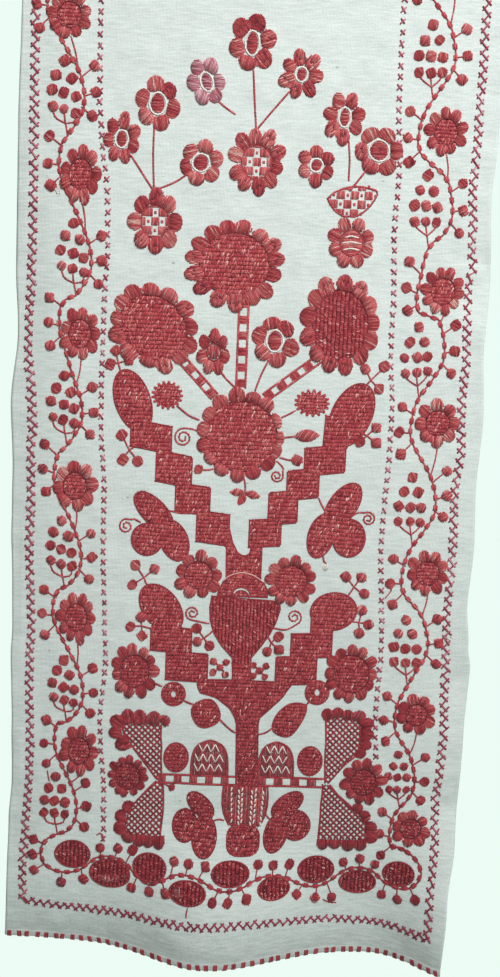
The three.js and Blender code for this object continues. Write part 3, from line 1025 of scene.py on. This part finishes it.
# Five-dot ornaments beside the trunk
dotWork = {"places": ((-6.5, 6.5), (6.5, 6), (-6.5, -6), (6, -6.5), (0, 0)), "radius": 3.9, "stalk": 2.2,
           "stalkShare": 0.6, "stalkAside": 0.1}
for u, v in ((-18, 311), (24, 309)):
    for du, dv in dotWork["places"]:
        berry(berryStitches, u + du, v + dv, dotWork["radius"])
        end = (u + du * dotWork["stalkShare"] + dotWork["stalkAside"], v + dv * dotWork["stalkShare"])
        stem(berryStitches, [(u, v), end], dotWork["stalk"])

# Hourglasses: lattice by its left and right edge at some heights, with a scalloped border
hourglasses = [
    [(245, -120, -78), (232, -116, -78), (222, -109, -77), (209, -99, -77), (192, -86, -76), (185, -81, -76)],
    [(182, -82, -74), (178, -86, -74), (164, -98, -73), (151, -108, -73), (138, -112, -74), (127, -113, -75),
     (123, -108, -75)],
    [(261, 97, 128), (254, 97, 133), (235, 98, 134), (221, 98, 131), (210, 98, 120), (194, 99, 107),
     (189, 99, 103)],
    [(186, 97, 105), (175, 97, 114), (163, 96, 128), (148, 96, 143), (128, 95, 146), (126, 95, 140)],
]
# Scallops: the middle of the base, the tip, half width
scallops = [
    (-112, 245, -115, 262, 6.6), (-100, 245, -102, 262, 6.8), (-87, 245, -85, 261, 6.8),
    (-78, 247, -70, 255, 5.6), (-119, 244, -132, 252, 6.4), (-119, 237, -134, 234, 6.4),
    (-111, 227, -126, 219, 7.2), (-106, 151, -117, 156, 5.6), (-112, 142, -125, 143, 6.2),
    (-113, 130, -126, 128, 6.6), (-108, 124, -113, 114, 6.6), (-98, 124, -98, 110, 6.2),
    (-87, 124, -88, 110, 6.2), (-77, 124, -76, 109, 5.6), (101, 260, 95, 271, 5.4),
    (110, 261, 108, 273, 5.8), (120, 260, 120, 271, 5.4), (129, 258, 136, 270, 6.4),
    (134, 253, 148, 259, 6.0), (134, 245, 149, 244, 5.6), (134, 234, 147, 232, 5.2),
    (131, 226, 141, 220, 5.0), (133, 157, 139, 167, 5.2), (140, 150, 149, 157, 5.6),
    (144, 141, 158, 141, 5.4), (146, 130, 159, 127, 5.4), (100, 126, 100, 113, 5.6),
    (113, 126, 113, 114, 6.0), (127, 126, 128, 112, 6.4), (140, 126, 141, 113, 6.4),
]
scallopWork = {"wider": 1.1, "tone": 0.38, "base": 0.95}
latticeStitches = []
for table in hourglasses:
    lattice(latticeStitches, outline(table))
    for end in (1, 2):
        stem(stemStitches, [(row[end], row[0]) for row in table], width=2.2, tone=0.36)
for baseU, baseV, tipU, tipV, halfWidth in scallops:
    along = np.array([tipU - baseU, tipV - baseV], float)
    length = np.linalg.norm(along)
    across = np.array([-along[1], along[0]]) / length
    petal(latticeStitches, np.array([baseU, baseV]), along / length, across, 0, length,
          halfWidth + scallopWork["wider"], scallopWork["tone"], scallopWork["base"])

# Domes: upright satin with zigzags of white over it: u, foot v, half width, height
domes = [(-25, 190, 19.8, 40), (46, 191, 18.8, 40)]
domeWork = {"points": 12, "power": 4, "flattest": 0.02, "tone": 0.36,
            "rim": 1.8, "rimTone": 0.4, "rimOver": 0.3}
domeZigzag = {"rises": (10, 21, 32), "inset": 3, "swing": 4.4, "step": 4.4,
              "width": 1.5, "lift": 1.0, "tone": 0.7, "over": 0.4}
for u, v, halfWidth, height in domes:
    heights = np.linspace(0, 1, domeWork["points"])
    halves = halfWidth * np.sqrt(np.maximum(domeWork["flattest"], 1 - heights ** domeWork["power"]))
    left = [(u - half, v + height * h) for h, half in zip(heights, halves)]
    right = [(u + half, v + height * h) for h, half in zip(heights[::-1], halves[::-1])]
    satin(latticeStitches, patch(left[::-1] + right[::-1]), turn=90, tone=domeWork["tone"])
    stem(latticeStitches, left + right, domeWork["rim"], domeWork["rimTone"], domeWork["rimOver"])
    for rise in domeZigzag["rises"]:
        half = halfWidth * math.sqrt(1 - (rise / height) ** domeWork["power"]) - domeZigzag["inset"]
        turns = np.arange(-half, half, domeZigzag["step"])
        corners = np.column_stack([u + turns, v + rise + domeZigzag["swing"] * (-1) ** np.arange(len(turns))])
        sew(whiteStitches, corners[:-1], corners[1:], domeZigzag["width"], domeZigzag["lift"],
            domeZigzag["tone"], domeZigzag["over"])

# Ladder bar on both sides of the trunk
for foot, head in (((-80, 186), (4, 186)), ((27, 187), (98, 188))):
    ladder(stemStitches, foot, head, width=9.4)

# Pot: upright satin with columns of white chain stitches, on a darned bulb
pot = outline([(182, -9, 38), (172, -10, 39), (161, -10, 39), (150, -8, 37), (143, -5, 34), (138, -2, 30)])
satin(latticeStitches, pot, turn=90, tone=0.44)
edge(latticeStitches, pot, width=1.8)
potColumns = [-1, 7.5, 11, 22, 26, 34.5]
potDash = {"from": 177, "to": 142, "pitch": 5.8, "stagger": 2.4, "length": 5.0, "width": 2.1, "lift": 0.9,
           "lean": 0.7, "tone": 0.65, "toneSpread": 0.08, "over": 0.4}
potTaper = {"middle": 14, "foot": 140, "height": 48, "footShare": 0.88}  # columns close up at the foot
for i, u in enumerate(potColumns):
    half = np.array([potDash["lean"] * (-1) ** i, potDash["length"] / 2])
    for v in np.arange(potDash["from"], potDash["to"], -potDash["pitch"]) - (i % 2) * potDash["stagger"]:
        rise = (1 - potTaper["footShare"]) * (v - potTaper["foot"]) / potTaper["height"]
        middle = np.array([potTaper["middle"] + (u - potTaper["middle"]) * (potTaper["footShare"] + rise), v])
        sew(whiteStitches, middle - half, middle + half, potDash["width"], potDash["lift"],
            potDash["tone"] + rng.normal(0, potDash["toneSpread"]), potDash["over"])
print("tree laid out")


# Side borders: a vine that bends round each flower and each cluster of berries. Repeats, from the top down:
# the cluster's top berry, the flower under it with its half sizes and petals, then what is uneven in them:
# far, near: shift of the bend beside the cluster or the flower; farLift, nearLift: of the berries on it;
# squeeze: how closely the cluster's rows lie; narrow: its berries in a row; fall: its rows to the right.
borders = {
    "left": {"bend": (-22, 12), "farBend": (19, -35), "armSag": 1.0, "fall": 0.25, "repeats": [
        ((-190, 1076), (-192, 970, 23, 24, 9), {}),
        ((-195, 925), (-177, 816, 22, 30, 9), {"far": (1, 2), "farLift": 6}),
        ((-183, 767), (-174, 656, 22, 28, 9), {}),
        ((-188, 613), (-175, 499, 23, 27, 8), {"nearLift": 6}),
        ((-188, 462), (-171, 359, 22, 29, 10), {"far": (2, -1), "near": (-3, -4), "nearLift": -4}),
        ((-183, 312), (-165, 213, 22, 29, 9),
         {"far": (2, 3), "near": (-5, -1), "nearLift": -2, "squeeze": 0.94}),
        ((-190, 183), None, {"far": (5, 2), "farLift": 3, "squeeze": 0.9, "fall": 0.0})]},
    "right": {"bend": (-27, -5), "farBend": (26, -27), "armSag": 0.2, "fall": 0.0, "repeats": [
        (None, (186, 1028, 22, 25, 9), {}),
        ((168, 975), (187, 872, 22, 25, 9), {"far": (-2, 0)}),
        ((172, 829), (193, 714, 23, 26, 10), {"far": (1, -4), "near": (1, 0), "nearLift": 9}),
        ((171, 677), (195, 580, 23, 25, 8), {"far": (2, 6), "nearLift": -4, "fall": -0.12}),
        ((173, 522), (195, 422, 23, 25, 9), {"far": (0, 3), "farLift": 9, "nearLift": -5}),
        ((176, 371), (191, 268, 21, 23, 8), {"far": (-3, 5), "near": (5, 0)}),
        ((176, 223), (193, 141, 21, 21, 8),
         {"far": (-8, 1), "near": (5, -1), "squeeze": 0.83, "narrow": 0.83})]},
}
clusterBerries = [(0, 0), (-7.5, -15), (7, -15), (-12, -30), (0, -30.5), (11.5, -31),
                  (-11, -46), (0.5, -46), (11.5, -46)]  # the last ones sit on arms
clusterFoot, clusterJoint = (2, -60), (4, -72)
armWork = {"width": 1.7, "below": 4, "middle": 0.4, "aside": 0.18, "drop": 2.5}
armCount = 3
fullBerry, armBerry, bendBerry, stalkWidth = 5.7, 5.2, 5.6, 1.6
bendBerries = [(9.5, 24), (11, -2), (8, -25)]
bendJoins = [(-3, 15), (0, -4), (-2, -15)]
joinLift = 0.7  # joins move by less than their berries
farPath, nearPath = [(-9, 30), (-3, 15), (0, 0), (-1, -14), (-8, -27)], [(3, 19), (0, 0), (3, -17)]
stalkFrom, stalkTo, stalkBow = (2, 3), (-7, 27), (1, 0)  # from under a flower to the next bend
borderBloom = {"first": (70, 110), "hub": 0.5, "tone": 0.48}
vineTops = {"left": [(-176, 1066)], "right": [(176, 1066), (164, 1046)]}
vineFeet = {"left": [(-196, 113)], "right": [(182, 120), (190, 117)]}
borderFlowers, borderNets, borderVines = [], [], []


def clusterOf(place, armSag, fall, squeeze, narrow):
    for i, (du, dv) in enumerate(clusterBerries):
        size = armBerry if i >= len(clusterBerries) - armCount else fullBerry
        berry(berryStitches, place[0] + du * narrow, place[1] + dv * squeeze - du * fall, size * narrow)
    foot, joint = [np.add(place, end) - (0, end[1] * (1 - squeeze)) for end in (clusterFoot, clusterJoint)]
    for du, dv in clusterBerries[-armCount:]:
        head = np.add(place, (du * narrow, dv * squeeze - armWork["below"] - du * fall))
        middle = head * (1 - armWork["middle"]) + foot * armWork["middle"]
        middle = middle + (du * armWork["aside"] * armSag, -armWork["drop"] * armSag)
        stem(borderVines, [head, middle, foot], armWork["width"])
    stem(borderVines, [foot, joint], stalkWidth)
    return joint


def berriesAtBend(bend, side, lift):
    for (du, dv), (ju, jv) in zip(bendBerries, bendJoins):
        place, join = np.add(bend, (side * du, dv + lift)), np.add(bend, (side * ju, jv + lift * joinLift))
        stem(borderVines, [join, place], stalkWidth)
        berry(berryStitches, *place, bendBerry)


for name, border in borders.items():
    path = list(vineTops[name])
    stalk = None
    for cluster, bloom, own in border["repeats"]:
        if cluster:
            far = np.add(cluster, border["farBend"]) + own.get("far", (0, 0))
            joint = clusterOf(cluster, border["armSag"], own.get("fall", border["fall"]),
                              own.get("squeeze", 1.0), own.get("narrow", 1.0))
            path += [far + shift for shift in farPath] + [joint]
            berriesAtBend(far, 1, own.get("farLift", 0))
            if stalk is not None:
                stem(borderVines, [stalk, (stalk + far + stalkTo) / 2 + stalkBow, far + stalkTo], stalkWidth)
        if bloom:
            near = np.add(bloom[:2], border["bend"]) + own.get("near", (0, 0))
            path += [near + shift for shift in nearPath]
            hub = bloom[2] * borderBloom["hub"], bloom[3] * borderBloom["hub"]
            flower(borderFlowers, borderNets, *bloom, rng.uniform(*borderBloom["first"]), *hub, "net",
                   borderBloom["tone"])
            berriesAtBend(near, -1, own.get("nearLift", 0))
            stalk = np.array([bloom[0] + stalkFrom[0], bloom[1] - bloom[3] + stalkFrom[1]], float)
    beadVine(borderVines, path + vineFeet[name])

# Bottom border: the vine goes on under and over a row of darned ovals: u, v, half across, half up
bottomVine = [
    (-196, 113), (-203, 103), (-203, 91), (-197, 81), (-184, 76), (-170, 76), (-157, 82), (-144, 94),
    (-128, 97), (-113, 93), (-101, 82), (-86, 74), (-72, 79), (-58, 87), (-42, 88), (-28, 84), (-13, 77),
    (3, 75), (18, 79), (32, 86), (48, 88), (62, 85), (77, 77), (94, 73), (109, 78), (124, 90), (140, 94),
    (155, 91), (169, 80), (186, 75), (199, 79), (208, 90), (206, 102), (197, 112), (187, 118),
]
bottomOvals = [
    (-169, 97, 19, 15), (-128, 79, 22, 15), (-85, 91, 18, 14), (-43, 72, 19.5, 11.5), (2, 91, 20, 12),
    (49, 75, 17, 11.5), (94, 92, 19.5, 14.5), (140, 78, 20, 12.5), (184, 91, 17, 13),
]
# Berries off the bottom vine: berry, then its join on the vine
bottomBerries = [
    ((-180, 64), (-180, 75)), ((-157, 69), (-159, 80)), ((-103, 67), (-98, 79)), ((-84, 67), (-84, 75)),
    ((-67, 68), (-70, 79)), ((-16, 65), (-10, 76)), ((1, 65), (2, 75)), ((20, 67), (15, 77)),
    ((74, 67), (80, 76)), ((95, 62), (96, 73)), ((113, 61), (107, 76)), ((167, 66), (171, 79)),
    ((184, 63), (184, 75)), ((204, 68), (198, 78)), ((-140, 106), (-138, 96)), ((-120, 107), (-123, 96)),
    ((-104, 106), (-110, 94)), ((-59, 99), (-62, 86)), ((-43, 99), (-46, 88)), ((-25, 97), (-32, 86)),
    ((31, 99), (29, 86)), ((48, 99), (47, 88)), ((65, 99), (61, 86)), ((124, 100), (127, 91)),
    ((141, 104), (141, 94)), ((158, 99), (154, 91)), ((-211, 111), (-201, 106)), ((-213, 93), (-203, 95)),
    ((-210, 76), (-199, 83)),
]
beadVine(borderVines, bottomVine)
for u, v, halfAcross, halfUp in bottomOvals:
    darn(borderNets, oval(u, v, halfAcross, halfUp), turn=90, tone=0.37)
    ring(borderNets, u, v, halfAcross, halfUp, width=1.5, tone=0.34, over=0.2)
for place, join in bottomBerries:
    stem(borderVines, [join, place], width=1.5)
    berry(berryStitches, *place, radius=5.4, tone=0.42)
print("borders laid out")


# Border lines, as u, v from the top down, and along the bottom from the left
outerLeft = [
    (-226, 1105), (-226, 980), (-224, 850), (-224, 720), (-227, 680), (-228, 640), (-222, 606), (-219, 570),
    (-221, 520), (-220, 480), (-221, 420), (-219, 330), (-220, 270), (-219, 220), (-220, 170), (-221, 120),
    (-223, 80), (-222, 42),
]
outerRight = [
    (219, 1105), (220, 980), (219, 830), (221, 790), (220, 760), (222, 738), (218, 718), (222, 650),
    (218, 600), (221, 545), (218, 510), (219, 430), (218, 355), (217, 305), (220, 250), (218, 190),
    (217, 172), (219, 130), (220, 80), (220, 36),
]
bottomLine = [
    (-222, 41), (-190, 38), (-150, 37), (-110, 38), (-70, 40), (-30, 42), (0, 43), (30, 42), (60, 40),
    (90, 38), (130, 36), (170, 34), (218, 33),
]
innerLeft = [
    (-161, 1105), (-161, 980), (-160, 900), (-156, 845), (-150, 800), (-148, 740), (-150, 690), (-150, 570),
    (-145, 500), (-144, 430), (-141, 360), (-139, 310), (-143, 260), (-142, 220), (-138, 180), (-136, 116),
]
innerRight = [
    (138, 1105), (138, 980), (139, 890), (143, 840), (141, 780), (144, 700), (144, 650), (148, 600),
    (148, 545), (146, 490), (145, 440), (149, 390), (151, 330), (149, 280), (150, 245), (152, 220),
]
herringbone(roseStitches, outerLeft, width=9.0, tone=0.46, pitch=10.4)
herringbone(roseStitches, outerRight, width=8.8, tone=0.46, pitch=10.5)
herringbone(roseStitches, bottomLine, width=8.0, tone=0.34, pitch=8.6)
crosses(roseStitches, innerLeft, pitch=10.9, halfAcross=2.5, halfUp=3.2)
crosses(roseStitches, innerRight, pitch=10.7, halfAcross=2.7, halfUp=3.0)


# Red overcast on the rolled hem: little blocks of wraps that go round its edge
overcast = {
    "pitch": 9.8, "spread": 0.7, "wraps": 3, "wrapWidth": 1.7, "wrapShare": 0.92, "lean": 0.5,
    "lift": 0.7, "middle": 3.1, "halfHeight": 4.0, "halfDepth": 1.75, "from": -38, "to": 218, "rings": 9,
    "sides": (-1, -0.6, 0, 0.6, 1), "sideLift": (0, 0.75, 1, 0.75, 0),
    "endSwell": 0.25, "tone": 0.28, "toneSpread": 0.08, "ringLength": 1.5,
}


def overcastHem():
    rings, sides = overcast["rings"], np.array(overcast["sides"])
    k, last = len(sides), (rings - 1) * len(sides)
    angles = np.radians(np.linspace(overcast["from"], overcast["to"], rings))[:, None]
    swell = np.sin(np.linspace(overcast["endSwell"], math.pi - overcast["endSwell"], rings)) ** 0.5
    count = round(cloth["width"] / overcast["pitch"])
    blocks = (np.arange(count) + 0.5) * overcast["pitch"] - cloth["width"] / 2
    blocks = blocks + rng.normal(0, overcast["spread"], count)
    within = np.arange(overcast["wraps"]) - (overcast["wraps"] - 1) / 2
    within = within * overcast["wrapWidth"] * overcast["wrapShare"]
    wraps = (blocks[:, None] + within).ravel()
    lean = np.repeat(rng.normal(0, overcast["lean"], count), overcast["wraps"])
    rise = overcast["lift"] * swell[:, None] * np.array(overcast["sideLift"])
    u = wraps[:, None, None] + sides * overcast["wrapWidth"] / 2 + lean[:, None, None] * np.sin(angles)
    v = overcast["middle"] - (overcast["halfHeight"] + rise) * np.sin(angles)
    height = (overcast["halfDepth"] + rise) * np.cos(angles)
    places = overCloth(*[part.ravel() for part in np.broadcast_arrays(u, v, height)])
    quads = np.array([(r + (j + 1) % k, r + j, r + k + j, r + k + (j + 1) % k)
                      for r in range(0, last, k) for j in range(k)])
    caps = [(0, j, j + 1) for j in range(1, k - 1)]
    caps += [(last, last + j + 1, last + j) for j in range(1, k - 1)]
    first = np.arange(len(wraps))[:, None, None] * rings * k
    tone = np.repeat(overcast["tone"] + rng.normal(0, overcast["toneSpread"], len(wraps)), rings * k)
    ringPlaces = np.repeat(np.arange(rings) * overcast["ringLength"], k)
    threadPlace = np.tile(np.column_stack([np.tile(sides, rings), ringPlaces]), (len(wraps), 1))
    quads, caps = (quads + first).reshape(-1, 4), (np.array(caps) + first).reshape(-1, 3)
    return meshFrom("hem_overcast", places, quads, caps, tone, threadPlace / metre, redCotton)


# Loose ends: a few curls of undyed thread, and red tails
curls = [(-198, 798, 4, 80, 0.9, [(-197, 803)]), (97, 61, 6, 200, 0.7, [(91, 64)]),
         (222, 354, 4, 150, 0.8, [(220, 362)])]
tails = [[(104, 58), (110, 55), (117, 54)], [(-42, 58), (-43, 54), (-43, 50)],
         [(157, 409), (158, 402), (153, 394)], [(-199, 188), (-198, 182), (-197, 178)],
         [(-143, 120), (-139, 122), (-136, 118)]]
for row in curls:
    spiral(whiteStitches, *row, width=1.5)
satin(whiteStitches, oval(88, 424, 3, 5, 10), turn=100, tone=0.6)
for points in tails:
    stem(stemStitches, points, width=1.4)


# On the reverse, darning has no dark under-threads of painted shade and no flecks, and half of its stitches
# at twice the width
def thinned(work):
    rows = np.concatenate(work)
    rows = rows[rows[:, 5] >= darning["lift"]][::2]
    return [rows * np.array([1, 1, 1, 1, 2, 1, 1, 1])]


treeStitches = flowerStitches + thinned(netStitches + bodyStitches) + stemStitches + latticeStitches
edgeStitches = berryStitches + borderFlowers + thinned(borderNets) + borderVines
faceWork = [
    ("tree_flowers", flowerStitches, redCotton), ("flower_darning", netStitches, shortStreakCotton),
    ("tree_darning", bodyStitches, shortStreakCotton), ("tree_stems", stemStitches, redCotton),
    ("lattice_work", latticeStitches, redCotton), ("berries", berryStitches, redCotton),
    ("border_flowers", borderFlowers, redCotton), ("border_darning", borderNets, shortStreakCotton),
    ("border_vines", borderVines, redCotton), ("border_crosses", roseStitches, roseCotton),
]
reverseWork = [
    ("reverse_tree", treeStitches, redCotton), ("reverse_borders", edgeStitches, redCotton),
    ("reverse_crosses", roseStitches, roseCotton),
]
pieces = [makeStitches(*row) for row in faceWork] + [overcastHem()]
pieces += [makeStitches(*row, plainForm, back=True) for row in reverseWork]
whitePiece = makeStitches("white_accents", whiteStitches, whiteCotton)

for piece in pieces + [whitePiece, linenCloth]:
    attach(piece, "root")
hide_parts("towel_cloth")
print("stitches sewn")


# Studio: a pale floor well under the towel, a pale surround that is brighter behind it, and soft lamps
studio = {"floorBelowHem": 0.75, "floorRadius": 1.1, "floorSides": 96, "floorColour": "#dfe9e3",
          "floorRoughness": 0.8, "surround": "#e6f6ee", "ahead": 1.06, "behind": 0.085,
          "from": -0.2, "to": 0.5}  # the surround brightens between these directions
lamps = [  # name, place, aimed at, size, spread in degrees, watts, colour
    ("keyLamp", (1.1, -2.4, 1.3), (0, 0, -0.4), 0.8, 100, 37, "#fcfffd"),
    ("backLamp", (0.6, 1.8, 0.9), (0, 0, -0.6), 1.2, 180, 30, "#f4f7ff"),
]


def layFloor():
    shape = bmesh.new()
    bmesh.ops.create_circle(shape, cap_ends=True, segments=studio["floorSides"], radius=studio["floorRadius"])
    bmesh.ops.translate(shape, verts=shape.verts, vec=(0, 0, -clothDrop / metre - studio["floorBelowHem"]))
    mesh = bpy.data.meshes.new("floor")
    shape.to_mesh(mesh)
    shape.free()
    material, shader = newMaterial("pale floor paint")
    setInputs(material, shader, {"Base Color": linear(studio["floorColour"]),
                                 "Roughness": studio["floorRoughness"]})
    mesh.materials.append(material)
    return addObject("floor", mesh)


layFloor()
world = bpy.data.worlds.new("surround")
world.use_nodes = True
direction = addNode(world, "ShaderNodeTexCoord", {}, {})
split = addNode(world, "ShaderNodeSeparateXYZ", {}, {"Vector": direction.outputs["Generated"]})
strength = addNode(world, "ShaderNodeMapRange", {"interpolation_type": "SMOOTHSTEP"},
                   {"Value": split.outputs["Y"], "From Min": studio["from"], "From Max": studio["to"],
                    "To Min": studio["behind"], "To Max": studio["ahead"]})
setInputs(world, world.node_tree.nodes["Background"],
          {"Color": linear(studio["surround"]), "Strength": strength.outputs["Result"]})
bpy.context.scene.world = world
bpy.context.scene.view_settings.view_transform = "Standard"
for name, place, target, size, spread, watts, colour in lamps:
    lampData = bpy.data.lights.new(name, "AREA")
    lampData.size = size
    lampData.spread = math.radians(spread)
    lampData.energy = watts
    lampData.color = linear(colour)[:3]
    lamp = addObject(name, lampData)
    lamp.location = place
    aim = lamp.location - Vector(target)
    lamp.rotation_euler = aim.to_track_quat("Z", "Y").to_euler()
print("studio lit")

bpy.context.view_layer.update()
